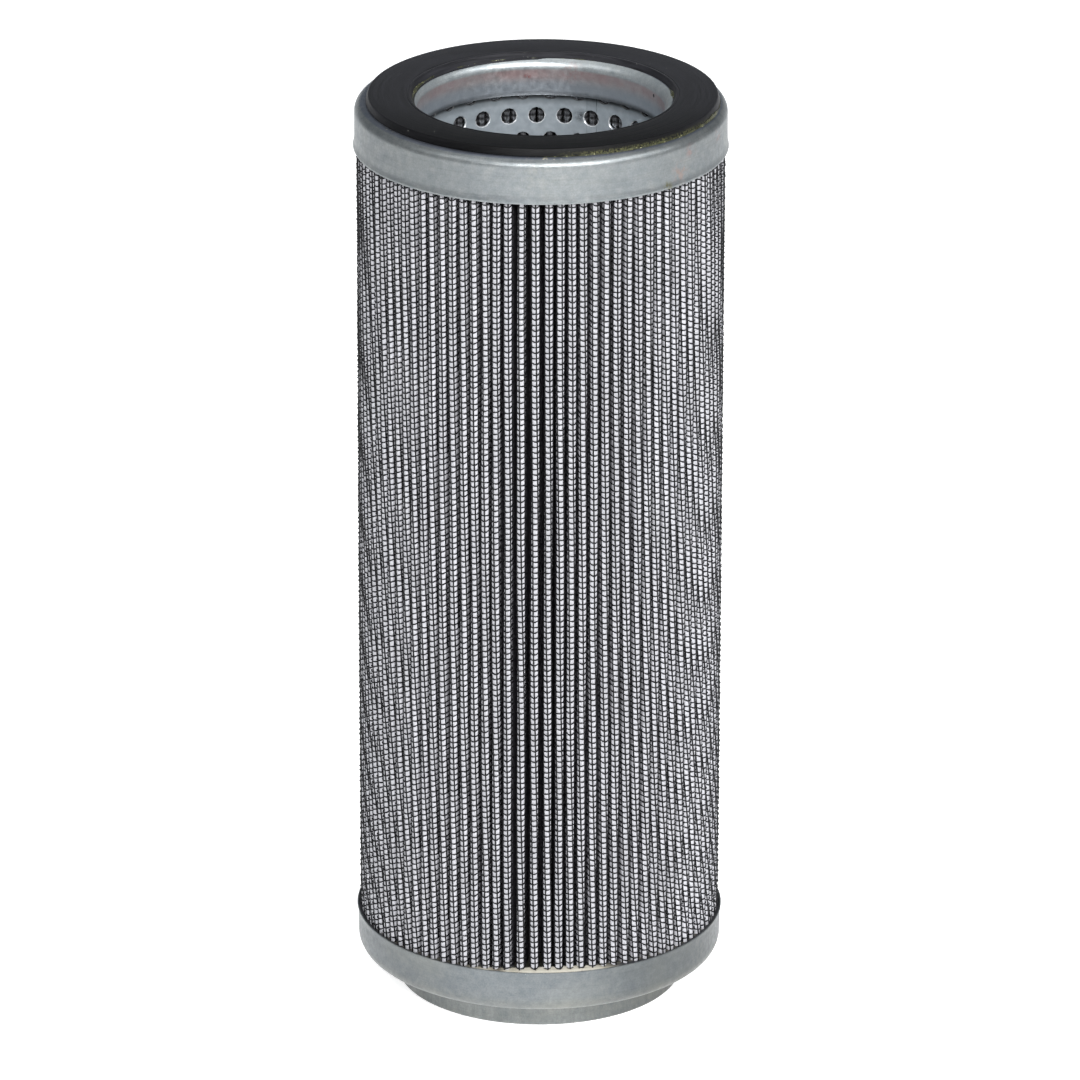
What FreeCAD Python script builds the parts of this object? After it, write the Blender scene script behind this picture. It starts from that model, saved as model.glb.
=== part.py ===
import FreeCAD, Part
import math
import os

import Sketcher

# Cartridge element of a hydraulic filter. A folded pack of wire mesh and glass-fibre media stands
# round a perforated core tube. Both are cast with resin into two drawn steel end caps, and the top
# cap carries a flat rubber seal. Millimetres, +Z up along the element's axis, origin in the middle
# of the bottom cap's closed boss, on which the element stands.

doc = FreeCAD.newDocument("filter_element")

# Driving dimensions
SIZES = [
    ("cap_radius", 51.2, "outside of a cap's skirt"),
    ("skirt_height", 12.5, "from a cap's flat ring to its open rim"),
    ("cap_sheet", 0.5, "steel sheet of the caps"),
    ("shoulder_bend", 2.8, "outer bend between flat ring and skirt"),
    ("bend_flats", 2, "conical steps that each bend is drawn with"),
    ("ring_width", 17.4, "from the neck's bore to the outside of the skirt"),
    ("neck_length", 10.3, "depth of the neck below the flat ring"),
    ("neck_bend", 2.7, "outer bend between flat ring and neck"),
    ("boss_inset", 11.2, "from the boss to the outside of the skirt"),
    ("boss_height", 8.5, "how far the boss stands out from the flat ring"),
    ("pack_height", 224.4, "height of the pack between the two open rims"),
    ("resin_recess", 0.4, "how deep the resin's face lies in the rim"),
    ("resin_gap", 0.05, "slit between the resin and the round walls beside it"),
    ("seal_inset", 2.9, "from the seal's base to the outside of the skirt"),
    ("seal_lap", 1.1, "from the neck's bore to the seal's base"),
    ("seal_height", 2.1, "thickness of the seal"),
    ("seal_edge", 1.2, "broken outer edge of the seal"),
    ("seal_slope", 1.2, "how much the seal's hole widens to the top"),
    ("bead_width", 0.85, "adhesive squeezed out beside the seal"),
    ("bead_height", 0.6, "height of that adhesive against the seal"),
    ("bead_start_angle", -95.0, "where the bead starts, in degrees from +X"),
    ("bead_sweep_angle", 80.0, "how far round the bead runs, in degrees"),
    ("bead_gap", 0.05, "slit between the bead and its neighbours"),
    ("core_gap", 0.15, "slit between the neck and the core tube"),
    ("core_wall", 0.75, "wall of the core tube"),
    ("hole_radius", 2.25, "round holes of the core tube"),
    ("hole_sides", 8, "straight stretches that each round hole is drawn with"),
    ("hole_rows", 3, "rows of holes up the core tube"),
    ("holes_around", 4, "holes in each row"),
    ("hole_margin", 14.0, "from the tube's free ends to the nearest row"),
    ("seam_angle", 65.0, "where the tube's weld lies, in degrees from +X"),
    ("seam_width", 2.2, "width of the planished weld"),
    ("seam_depth", 0.15, "how deep the weld is pressed into the bore"),
    ("crown_pitch", 3.36, "room that each fold takes along the ring of crowns"),
    ("crown_gap", 0.3, "from the folds' crowns to the bore of the skirts"),
    ("root_gap", 0.2, "from the folds' roots to the core tube"),
    ("crown_width", 2.2, "width of a fold's crown over the wire mesh"),
    ("mesh_thickness", 0.4, "coated wire mesh"),
    ("media_thickness", 0.57, "glass-fibre media between its fleeces, on its support mesh"),
    ("layer_gap", 0.03, "slit between the wire mesh and the media"),
    ("join_start_ratio", 0.35, "inner end of the side join, as a share of the fold's depth"),
    ("join_end_ratio", 0.93, "outer end of the side join, as a share of the fold's depth"),
]

sheet = doc.addObject("Spreadsheet::Sheet", "sizes")
for row, (alias, number, meaning) in enumerate(SIZES, start=1):
    sheet.set(f"A{row}", alias)
    sheet.set(f"B{row}", str(number))
    sheet.set(f"C{row}", meaning)
    sheet.setAlias(f"B{row}", alias)
doc.recompute()


class Size:
    """A number that also knows the spreadsheet expression which gives it."""

    def __init__(self, number, text=None):
        self.number = number
        self.text = str(number) if text is None else text

    @staticmethod
    def of(value):
        return value if isinstance(value, Size) else Size(value)

    def join(self, sign, other, number):
        return Size(number, f"({self.text} {sign} {other.text})")

    def __add__(self, other):
        other = Size.of(other)
        return self.join("+", other, self.number + other.number)

    def __sub__(self, other):
        other = Size.of(other)
        return self.join("-", other, self.number - other.number)

    def __mul__(self, other):
        other = Size.of(other)
        return self.join("*", other, self.number * other.number)

    def __truediv__(self, other):
        other = Size.of(other)
        return self.join("/", other, self.number / other.number)

    def __neg__(self):
        return Size(-self.number, f"(-{self.text})")


def size(alias):
    return Size(float(sheet.get(alias)), f"sizes.{alias}")


def sine(degrees):
    return Size(math.sin(math.radians(degrees.number)), f"sin({degrees.text})")


def cosine(degrees):
    return Size(math.cos(math.radians(degrees.number)), f"cos({degrees.text})")


def whole(value):
    return Size(math.floor(value.number), f"floor({value.text})")


# Levels, from the foot of the boss up
FOOT = Size(0)
floor = size("cap_sheet")
bottom_ring = size("boss_height")
bottom_rim = bottom_ring + size("skirt_height")
bottom_resin = bottom_rim - size("resin_recess")
top_rim = bottom_rim + size("pack_height")
top_resin = top_rim + size("resin_recess")
top_ring = top_rim + size("skirt_height")
neck_end = top_ring - size("neck_length")
core_top = top_ring - size("neck_bend")

# Radii
AXIS = Size(0)
skirt_bore = size("cap_radius") - size("cap_sheet")
neck_bore = size("cap_radius") - size("ring_width")
neck_outside = neck_bore + size("cap_sheet")
core_bore = neck_outside + size("core_gap")
core_outside = core_bore + size("core_wall")
boss_outside = size("cap_radius") - size("boss_inset")
boss_bore = boss_outside - size("cap_sheet")
seal_outside = size("cap_radius") - size("seal_inset")
seal_bore = neck_bore + size("seal_lap")

# The pack's folds, measured on the wire mesh's outer face
pack_thickness = size("mesh_thickness") + size("layer_gap") + size("media_thickness")
crown_radius = skirt_bore - size("crown_gap")
root_radius = core_outside + size("root_gap") + pack_thickness
pleat_count = whole(crown_radius * (2 * math.pi) / size("crown_pitch"))
half_fold = Size(180) / pleat_count


def new_body(name):
    body = doc.addObject("PartDesign::Body", name)
    body.Label = name
    return body


def new_sketch(body, name, role, lift=None, turn=None, hinge=FreeCAD.Vector(0, 0, 1)):
    """A sketch on an origin plane of its body, lifted off it or turned about the hinge."""
    sketch = body.newObject("Sketcher::SketchObject", name)
    plane = [feature for feature in body.Origin.OriginFeatures if feature.Role == role][0]
    sketch.AttachmentSupport = (plane, "")
    sketch.MapMode = "FlatFace"
    if lift:
        sketch.setExpression("AttachmentOffset.Base.z", lift.text)
    if turn:
        sketch.AttachmentOffset = FreeCAD.Placement(FreeCAD.Vector(), FreeCAD.Rotation(hinge, 1))
        sketch.setExpression("AttachmentOffset.Rotation.Angle", turn.text)
    return sketch


def bind(sketch, constraint, name, value):
    index = sketch.addConstraint(constraint)
    sketch.renameConstraint(index, name)
    sketch.setExpression(f"Constraints.{name}", value.text)


def place(sketch, edge, end, point, name):
    """Holds one end of an edge at its point; a zero puts it on the sketch's own axis."""
    across, up = point
    if across.number == 0:
        sketch.addConstraint(Sketcher.Constraint("PointOnObject", edge, end, -2))
    else:
        held = Sketcher.Constraint("DistanceX", -1, 1, edge, end, across.number)
        bind(sketch, held, f"{name}_across", across)
    if up.number == 0:
        sketch.addConstraint(Sketcher.Constraint("PointOnObject", edge, end, -1))
    else:
        held = Sketcher.Constraint("DistanceY", -1, 1, edge, end, up.number)
        bind(sketch, held, f"{name}_up", up)


def draw(sketch, outline):
    """Adds a closed outline of straight edges, each corner held at its place."""
    first = sketch.GeometryCount
    count = len(outline)
    corners = [FreeCAD.Vector(across.number, up.number, 0) for across, up in outline]
    for index in range(count):
        sketch.addGeometry(Part.LineSegment(corners[index], corners[(index + 1) % count]))
    for index in range(count):
        after = first + (index + 1) % count
        sketch.addConstraint(Sketcher.Constraint("Coincident", first + index, 2, after, 1))
    for index, corner in enumerate(outline):
        place(sketch, first + index, 1, corner, f"corner{first + index}")


def arc(centre, radius, start, end, steps):
    """Points on a circular bend, from the start to the end angle in degrees."""
    points = []
    for step in range(steps + 1):
        angle = math.radians(start + (end - start) * step / steps)
        across = centre[0] + radius * math.cos(angle)
        points.append((across, centre[1] + radius * math.sin(angle)))
    return points


def turned(name, outline):
    """A piece of revolution from its half section, given as radius and level."""
    body = new_body(name)
    sketch = new_sketch(body, f"{name}_section", "XZ_Plane")
    draw(sketch, outline)
    revolution = body.newObject("PartDesign::Revolution", f"{name}_turned")
    revolution.Profile = sketch
    revolution.ReferenceAxis = (sketch, ["V_Axis"])
    revolution.Angle = 360
    return body


# The top end cap is drawn in one piece: skirt, flat ring and a neck that centres the core tube
def make_top_end_cap():
    bend, neck_bend, gauge = size("shoulder_bend"), size("neck_bend"), size("cap_sheet")
    steps = int(size("bend_flats").number)
    shoulder = (size("cap_radius") - bend, top_ring - bend)
    throat = (neck_bore + neck_bend, top_ring - neck_bend)
    turned("top_end_cap", [
        (size("cap_radius"), top_rim),
        *arc(shoulder, bend, 0, 90, steps),
        *arc(throat, neck_bend, 90, 180, steps),
        (neck_bore, neck_end),
        (neck_outside, neck_end),
        *arc(throat, neck_bend - gauge, 180, 90, 1),
        *arc(shoulder, bend - gauge, 90, 0, 1),
        (skirt_bore, top_rim),
    ])


# The bottom end cap has the same skirt and ring, and closes the core with a boss
def make_bottom_end_cap():
    bend, gauge = size("shoulder_bend"), size("cap_sheet")
    steps = int(size("bend_flats").number)
    shoulder = (size("cap_radius") - bend, bottom_ring + bend)
    turned("bottom_end_cap", [
        (AXIS, FOOT),
        (boss_outside, FOOT),
        (boss_outside, bottom_ring),
        *arc(shoulder, bend, -90, 0, steps),
        (size("cap_radius"), bottom_rim),
        (skirt_bore, bottom_rim),
        *arc(shoulder, bend - gauge, 0, -90, 1),
        (boss_bore, bottom_ring + gauge),
        (boss_bore, floor),
        (AXIS, floor),
    ])


# The core tube is rolled from perforated sheet; it stands on the boss and slips over the neck
def make_core_tube():
    body = turned("core_tube", [
        (core_bore, floor),
        (core_outside, floor),
        (core_outside, core_top),
        (core_bore, core_top),
    ])
    cut_weld_seam(body)
    rows = int(size("hole_rows").number)
    lowest = bottom_ring + size("hole_margin")
    row_pitch = (core_top - lowest - size("hole_margin")) / (rows - 1)
    levels = [lowest + row_pitch * row for row in range(rows)]
    half_turn = Size(180) / size("holes_around")
    punch_holes(body, "even_rows", levels[0::2], Size(0))
    punch_holes(body, "odd_rows", levels[1::2], half_turn)


def cut_weld_seam(body):
    sketch = new_sketch(body, "seam_section", "XY_Plane", lift=floor, turn=size("seam_angle"))
    half = size("seam_width") / 2
    near = core_bore - size("core_wall")
    far = core_bore + size("seam_depth")
    draw(sketch, [(near, -half), (far, -half), (far, half), (near, half)])
    pocket = body.newObject("PartDesign::Pocket", "weld_seam")
    pocket.Profile = sketch
    pocket.Type = "ThroughAll"
    pocket.Reversed = True


def punch_holes(body, name, levels, turn):
    """Rows of round holes, drawn in a plane through the axis and cut outwards on one side."""
    hinge = FreeCAD.Vector(0, 1, 0)
    sketch = new_sketch(body, f"{name}_layout", "XZ_Plane", turn=turn, hinge=hinge)
    sides = int(size("hole_sides").number)
    half_side = 180 / sides
    for level in levels:
        edge = arc((AXIS, level), size("hole_radius"), half_side, half_side + 360, sides)
        draw(sketch, edge[:-1])
    pocket = body.newObject("PartDesign::Pocket", f"{name}_cut")
    pocket.Profile = sketch
    pocket.Length = 1
    pocket.setExpression("Length", (core_outside + size("core_wall")).text)
    pattern = body.newObject("PartDesign::PolarPattern", f"{name}_round")
    pattern.Originals = [pocket]
    pattern.Axis = (sketch, ["V_Axis"])
    pattern.Angle = 360
    pattern.Occurrences = int(size("holes_around").number)
    pattern.setExpression("Occurrences", size("holes_around").text)
    body.Tip = pattern


# Rings of resin between core tube and skirts hold the ends of the pack
def make_resin_rings():
    inside = core_outside + size("resin_gap")
    outside = skirt_bore - size("resin_gap")
    channel_floor = bottom_ring + size("shoulder_bend")
    channel_roof = top_ring - size("shoulder_bend")
    for name, low, high in (
        ("bottom_potting", channel_floor, bottom_resin),
        ("top_potting", top_resin, channel_roof),
    ):
        turned(name, [(inside, low), (outside, low), (outside, high), (inside, high)])


# The pack is folded into deep, narrow folds: each leg runs from a crown down to the core tube
def fold_outline(depth, open_root=True, open_crown=True):
    """Points of one fold about +X at a depth in the pack, up to the same point of the next fold."""
    crown = crown_radius - depth
    half_crown = size("crown_width") / 2 - depth
    root = root_radius - depth
    along, aside = root * cosine(half_fold), root * sine(half_fold)
    across, back = depth * cosine(half_fold), depth * sine(half_fold)
    top = [(crown, -half_crown), (crown, half_crown)] if open_crown else [(crown, AXIS)]
    if open_root:
        right = [(along + back, aside - across), (along - back, aside + across)]
    else:
        right = [(along, aside)]
    left = (right[0][0], -right[0][1])
    return [left] + top + right


def folded_sheet(name, outer_face, inner_face):
    """One layer of the pack: a single fold padded to full height and patterned round the axis."""
    body = new_body(name)
    sketch = new_sketch(body, f"{name}_fold", "XY_Plane", lift=bottom_resin)
    draw(sketch, outer_face + inner_face[::-1])
    pad = body.newObject("PartDesign::Pad", f"{name}_pad")
    pad.Profile = sketch
    pad.Length = 1
    pad.setExpression("Length", (top_resin - bottom_resin).text)
    pad.Refine = False
    pattern = body.newObject("PartDesign::PolarPattern", f"{name}_folds")
    pattern.Originals = [pad]
    pattern.Axis = (sketch, ["N_Axis"])
    pattern.Angle = 360
    pattern.Occurrences = int(pleat_count.number)
    pattern.setExpression("Occurrences", pleat_count.text)
    pattern.Refine = False
    body.Tip = pattern


def make_pack():
    mesh = size("mesh_thickness")
    wire_outside = fold_outline(Size(0), open_root=False)
    folded_sheet("outer_mesh", wire_outside, fold_outline(mesh))
    media_outside = fold_outline(mesh + size("layer_gap"))
    folded_sheet("filter_media", media_outside, fold_outline(pack_thickness, open_crown=False))


# The two ends of the folded strip are glued together in the gap between two folds
def make_side_join():
    body = new_body("side_join")
    turn = half_fold * (whole(pleat_count / 4) * 2 + 1)
    sketch = new_sketch(body, "side_join_section", "XY_Plane", lift=bottom_resin, turn=turn)
    open_half = crown_radius * sine(half_fold) - size("crown_width") / 2 * cosine(half_fold)
    depth = crown_radius - root_radius
    near = root_radius + depth * size("join_start_ratio")
    far = root_radius + depth * size("join_end_ratio")
    near_half = open_half * size("join_start_ratio") - size("layer_gap")
    far_half = open_half * size("join_end_ratio") - size("layer_gap")
    draw(sketch, [(near, -near_half), (far, -far_half), (far, far_half), (near, near_half)])
    pad = body.newObject("PartDesign::Pad", "side_join_pad")
    pad.Profile = sketch
    pad.Length = 1
    pad.setExpression("Length", (top_resin - bottom_resin).text)


# The flat seal is glued to the top cap's ring; some adhesive is squeezed out beside it
def make_seal():
    edge = size("seal_edge")
    seal_top = top_ring + size("seal_height")
    turned("top_seal", [
        (seal_bore, top_ring),
        (seal_outside, top_ring),
        (seal_outside, seal_top - edge),
        (seal_outside - edge, seal_top),
        (seal_bore + size("seal_slope"), seal_top),
    ])


def make_seal_bead():
    body = new_body("seal_adhesive")
    hinge = FreeCAD.Vector(0, 1, 0)
    sketch = new_sketch(body, "bead_section", "XZ_Plane", turn=size("bead_start_angle"), hinge=hinge)
    near = seal_outside + size("bead_gap")
    low = top_ring + size("bead_gap")
    draw(sketch, [
        (near, low),
        (near + size("bead_width"), low),
        (near, low + size("bead_height")),
    ])
    revolution = body.newObject("PartDesign::Revolution", "bead_turned")
    revolution.Profile = sketch
    revolution.ReferenceAxis = (sketch, ["V_Axis"])
    revolution.Angle = 1
    revolution.setExpression("Angle", size("bead_sweep_angle").text)


make_top_end_cap()
make_bottom_end_cap()
make_core_tube()
make_resin_rings()
make_pack()
make_side_join()
make_seal()
make_seal_bead()
doc.recompute()

for thing in doc.Objects:
    if "Invalid" in thing.State or "Error" in thing.State:
        raise RuntimeError(f"{thing.Name} could not be made: {thing.State}")

bodies = [thing for thing in doc.Objects if thing.TypeId == "PartDesign::Body"]
for body in bodies:
    if body.Shape.isNull() or not body.Shape.isValid() or len(body.Shape.Solids) != 1:
        raise RuntimeError(f"{body.Label} is not one sound solid")

os.makedirs("parts", exist_ok=True)
for body in bodies:
    body.Shape.exportStep(f"parts/{body.Label}.step")
    box = body.Shape.BoundBox
    print(f"{body.Label}: {body.Shape.Volume:.0f} mm3, z {box.ZMin:.2f} to {box.ZMax:.2f}, "
          f"x {box.XMin:.2f} to {box.XMax:.2f}, y {box.YMin:.2f} to {box.YMax:.2f}")
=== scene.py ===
import math
import random

import bpy
import numpy as np
from mathutils import Matrix, Vector


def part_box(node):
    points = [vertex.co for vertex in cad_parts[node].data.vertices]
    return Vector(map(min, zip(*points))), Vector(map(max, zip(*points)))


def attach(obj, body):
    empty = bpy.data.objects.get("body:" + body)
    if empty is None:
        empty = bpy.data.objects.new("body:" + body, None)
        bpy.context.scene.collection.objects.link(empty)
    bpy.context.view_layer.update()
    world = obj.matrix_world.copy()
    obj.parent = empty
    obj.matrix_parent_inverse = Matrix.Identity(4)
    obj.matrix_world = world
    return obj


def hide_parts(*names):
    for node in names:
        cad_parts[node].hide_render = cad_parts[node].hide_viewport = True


# Looks of a hydraulic filter element: drawn galvanised caps, a rubber seal, a perforated core tube
# and a folded pack of black wire mesh over white glass-fibre media. Lengths in millimetres are
# turned into metres where a mesh or a material is made. The axis is Z, and the front faces -Y.

bl_info = {
    "name": "Hydraulic filter element",
    "version": (1, 0, 0),
    "blender": (4, 5, 0),
    "location": "View3D > Sidebar > Filter",
    "description": "Builds the caps, seal, core and pleated pack of a filter element",
    "category": "Add Mesh",
}

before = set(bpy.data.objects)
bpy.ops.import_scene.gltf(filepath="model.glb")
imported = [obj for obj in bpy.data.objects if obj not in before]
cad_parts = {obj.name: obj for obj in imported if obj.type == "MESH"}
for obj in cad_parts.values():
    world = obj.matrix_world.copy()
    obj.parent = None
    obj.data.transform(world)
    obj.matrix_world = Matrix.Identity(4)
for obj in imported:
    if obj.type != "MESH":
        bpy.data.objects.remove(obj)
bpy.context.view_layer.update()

MM = 0.001


def level(node, end):
    """Lowest (0) or highest (1) level of a CAD node, in millimetres."""
    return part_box(node)[end].z / MM


def reach(node):
    """Largest radius of a CAD node, in millimetres."""
    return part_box(node)[1].x / MM


# Levels and radii that all pieces share, read from the frame
TOP_RIM = level("top_end_cap", 0)
TOP_RING = level("top_end_cap", 1)
BOTTOM_RIM = level("bottom_end_cap", 1)
SKIRT = reach("top_end_cap")
PACK_LOW = level("outer_mesh", 0)
PACK_HIGH = level("outer_mesh", 1)
CROWN = reach("outer_mesh")
CORE = reach("core_tube")
SEAL_TOP = level("top_seal", 1)

# Thickness of the caps' sheet, and how far the neck reaches below the ring
SHEET = 0.5
NECK_DEPTH = 9.65

# How deep the media and the inner mesh lie below the pack's face, outer and inner skin
MEDIA_DEPTHS = (0.29, 0.80)
INNER_MESH_DEPTHS = (0.84, 0.98)


# Settings

def a_number(name, text, value, **kind):
    return bpy.props.FloatProperty(name=name, description=text, default=value, **kind)


def a_length(name, text, millimetres):
    return a_number(name, text, millimetres * MM, unit="LENGTH")


def a_colour(name, text, colour):
    return bpy.props.FloatVectorProperty(
        name=name, description=text, default=colour, subtype="COLOR", min=0, max=1)


class StageSettings(bpy.types.PropertyGroup):
    pitch: a_number("View pitch", "How far the camera looks down", math.radians(21.3),
                    subtype="ANGLE")
    roll: a_number("View roll", "Lean of the camera", math.radians(0.13), subtype="ANGLE")
    distance: a_length("Distance", "From the camera to the element's middle", 2345)
    aim: a_length("Aim", "Level that the camera looks at", 129.6)
    lens: a_number("Lens", "Focal length in millimetres", 282.0)
    glow: a_number("Glow", "Light that comes up through the pale floor", 0.72, min=0)
    floor: a_colour("Floor", "Colour of the pale floor", (0.93, 0.93, 0.93))


class SteelSettings(bpy.types.PropertyGroup):
    neck: a_length("Neck bore", "Bore of the top cap's neck, as a radius", 33.8)
    boss: a_length("Boss", "Radius of the bottom cap's boss", 40.0)
    flare: a_length("Flare", "How much the skirt widens at its rim", 0.38)
    bend: a_length("Bend", "Outer bend between ring and skirt", 2.8)
    low_bend: a_length("Low bend", "Softer outer bend of the bottom cap", 4.4)
    light: a_colour("Light zinc", "Lighter grey of the zinc", (0.335, 0.355, 0.358))
    dark: a_colour("Dark zinc", "Darker, bluer grey of the zinc", (0.25, 0.275, 0.29))


class PackSettings(bpy.types.PropertyGroup):
    folds: bpy.props.IntProperty(
        name="Folds", description="Folds of the pack", default=94, min=8)
    crown: a_length("Crown width", "Width of a fold's rounded crown", 2.58)
    root: a_length("Root radius", "Radius of the mesh at the folds' roots", 36.4)
    wire: a_length("Wire", "Diameter of the coated wire", 0.40)
    pitch: a_length("Wire pitch", "Spacing of the wires, sixteen to the inch", 1.5875)
    media: a_colour("Media", "White of the glass-fibre media", (0.41, 0.41, 0.435))


class SealSettings(bpy.types.PropertyGroup):
    rubber: a_colour("Rubber", "Black of the seal", (0.006, 0.006, 0.007))
    glue: a_colour("Adhesive", "Yellow-green of the adhesive", (0.052, 0.055, 0.02))
    offset: a_length("Offset", "How far the seal sits to one side", 0.5)


# Finishes

class Finish:
    """A procedural material on Object coordinates, built step by step."""

    def __init__(self, name, metallic=0.0, roughness=0.5, specular=0.5):
        self.material = bpy.data.materials.new(name)
        self.material.use_nodes = True
        self.nodes = self.material.node_tree.nodes
        self.links = self.material.node_tree.links
        self.shader = self.nodes["Principled BSDF"]
        for socket, value in (("Metallic", metallic), ("Roughness", roughness),
                              ("Specular IOR Level", specular)):
            self.shader.inputs[socket].default_value = value
        self.place = self.node("TexCoord").outputs["Object"]
        self.colour = self.normal = self.roughness = None

    def node(self, kind, inputs=(), **traits):
        """A new node with its traits set, and its inputs set or linked to another's output."""
        node = self.nodes.new("ShaderNode" + kind)
        for trait, value in traits.items():
            setattr(node, trait, value)
        for key, value in dict(inputs).items():
            socket = node.inputs[key]
            if isinstance(value, bpy.types.NodeSocket):
                self.links.new(value, socket)
            else:
                socket.default_value = (*value, 1.0) if socket.type == "RGBA" else value
        return node

    def axis(self, name):
        return self.node("SeparateXYZ", {0: self.place}).outputs[name]

    def stretched(self, scale):
        return self.node("Mapping", {"Vector": self.place, "Scale": scale}).outputs["Vector"]

    def vector(self, operation, first, second=(0, 0, 0)):
        """Sum on vectors: its outputs are Vector and Value."""
        return self.node("VectorMath", {0: first, 1: second}, operation=operation).outputs

    def radius(self):
        """Distance from the element's axis."""
        return self.vector("LENGTH", self.stretched((1, 1, 0)))["Value"]

    def noise(self, scale, detail, rough, vector=None):
        return self.node("TexNoise", {
            "Vector": vector or self.place, "Scale": scale, "Detail": detail, "Roughness": rough,
        }).outputs["Fac"]

    def cells(self, scale):
        return self.node("TexVoronoi", {"Vector": self.place, "Scale": scale}).outputs

    def ramp(self, factor, *stops):
        """Colours, or shades of grey, at positions of a factor."""
        node = self.node("ValToRGB", {"Fac": factor})
        elements = node.color_ramp.elements
        while len(elements) < len(stops):
            elements.new(0.5)
        for element, (position, colour) in zip(elements, stops):
            element.position = position
            element.color = (*(colour if hasattr(colour, "__len__") else [colour] * 3), 1.0)
        return node.outputs["Color"]

    def patches(self, scale, detail, rough, *stops):
        """Noise that is cut to colours or shades."""
        return self.ramp(self.noise(scale, detail, rough), *stops)

    def mix(self, factor, first, second, kind="MIX"):
        return self.node("Mix", {0: factor, 6: first, 7: second},
                         data_type="RGBA", blend_type=kind).outputs[2]

    def paint(self, factor, colour):
        """Lays another colour over the finish, as far as the factor says."""
        self.colour = self.mix(factor, self.colour, colour)

    def tint(self, by, share=1.0):
        """Multiplies the finish's colour, as far as the share says."""
        self.colour = self.mix(share, self.colour, by, "MULTIPLY")

    def math(self, operation, *values):
        return self.node("Math", enumerate(values), operation=operation).outputs[0]

    def times(self, *values):
        """Two or more values multiplied."""
        product = values[0]
        for value in values[1:]:
            product = self.math("MULTIPLY", product, value)
        return product

    def between(self, value, low, high):
        """Smooth step of a coordinate from 0 at low to 1 at high, in millimetres. With low above
        high it falls instead of rising."""
        return self.node("MapRange", {
            "Value": value, "From Min": low * MM, "From Max": high * MM,
        }, interpolation_type="SMOOTHSTEP").outputs["Result"]

    def along(self, axis, low, high):
        return self.between(self.axis(axis), low, high)

    def near(self, point, size):
        """1 at a point in millimetres, fading to 0 at a distance."""
        away = self.vector("DISTANCE", self.place, Vector(point) * MM)["Value"]
        return self.between(away, size, 0)

    def dots(self, scale, size):
        """Small scattered dots: 1 in a dot, 0 between."""
        return self.ramp(self.cells(scale)["Distance"], (size * 0.6, 1.0), (size, 0.0))

    def spots(self, scale, low, high, places):
        """Spots of another colour at places on the piece, each broken up by a fine grain."""
        for point, size, colour, share in places:
            streak = self.patches(scale, 4, 0.7, (low, 0.0), (high, 1.0))
            self.paint(self.times(self.near(point, size), streak, share), colour)

    def bump(self, height, strength, distance):
        """Adds a relief of a distance in millimetres."""
        inputs = {"Height": height, "Strength": strength, "Distance": distance * MM}
        if self.normal is not None:
            inputs["Normal"] = self.normal
        self.normal = self.node("Bump", inputs).outputs["Normal"]

    def mottle(self, noise, dark, light, strength, distance):
        """Colours the finish from dark to light by a noise and adds the noise's relief."""
        pattern = self.noise(*noise)
        self.colour = self.ramp(pattern, dark, light)
        self.bump(pattern, strength, distance)

    def done(self):
        for name, value in (("Base Color", self.colour), ("Roughness", self.roughness),
                            ("Normal", self.normal)):
            if value is not None:
                self.links.new(value, self.shader.inputs[name])
        return self.material


def zinc(name, settings, tone, metallic, warm=0.06):
    """Satin galvanised sheet: mottled bluish grey, faint spangle and drawing marks."""
    look = Finish(name, metallic=metallic, roughness=0.4)
    mottle = look.noise(420, 5, 0.65)
    fine = look.noise(2300, 3, 0.6)
    blend = look.math("ADD", look.times(mottle, 0.75), look.times(look.noise(55, 3, 0.5), 0.25))
    dark, light = ([part * tone for part in shade] for shade in (settings.dark, settings.light))
    look.colour = look.ramp(blend, (0.36, dark), (0.64, light))
    spangle = look.ramp(look.cells(240)["Color"], (0.2, 0.90), (0.8, 1.0))
    look.tint(spangle, 0.55)
    look.tint(look.ramp(fine, (0.34, 0.80), (0.62, 1.0)), 0.7)
    stain = look.patches(38, 2, 0.6, (0.50, 0.0), (0.72, 1.0))
    look.paint(look.times(stain, warm), (0.36, 0.35, 0.28))
    drag = look.noise(30, 4, 0.65, look.stretched((1, 1, 60)))
    look.tint(look.ramp(drag, (0.36, 0.80), (0.48, 1.0)), 0.36)
    look.roughness = look.patches(700, 3, 0.6, (0.3, 0.33), (0.7, 0.50))
    look.bump(fine, 0.14, 0.2)
    look.bump(mottle, 0.06, 0.6)
    return look


def top_cap_zinc(settings):
    """Top cap: rusty and waxy spots at the front right, light specks of dried glue on the ring, and
    a painted reflection that darkens and blues the flat ring.
    """
    look = zinc("cap_zinc_top", settings, 0.88, 0.88)
    look.spots(520, 0.46, 0.60, (
        ((40.3, -31.0, 254.1), 3.2, (0.36, 0.20, 0.18), 0.50),
        ((47.8, -17.3, 254.1), 3.4, (0.36, 0.19, 0.17), 0.50),
        ((37.5, -34.4, 249.0), 4.6, (0.37, 0.24, 0.20), 0.55),
        ((34.1, -38.1, 246.1), 2.4, (0.14, 0.13, 0.05), 0.90),
        ((-1.0, -51.0, 254.0), 9.0, (0.38, 0.37, 0.30), 0.15),
    ))
    on_ring = look.along("Z", TOP_RING - 0.5, TOP_RING - 0.2)
    # Painted reflection: the flat ring is darkened and blued, standing for the dark room behind
    # that it mirrors.
    look.tint((0.69, 0.71, 0.84), on_ring)
    for point, size in (((1.8, -48.7, TOP_RING), 7.5), ((-39.5, -25.2, TOP_RING), 3.5)):
        speck = look.times(look.dots(900, 0.30), look.near(point, size), on_ring, 0.8)
        look.paint(speck, (0.80, 0.76, 0.55))
    return look.done()


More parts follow.
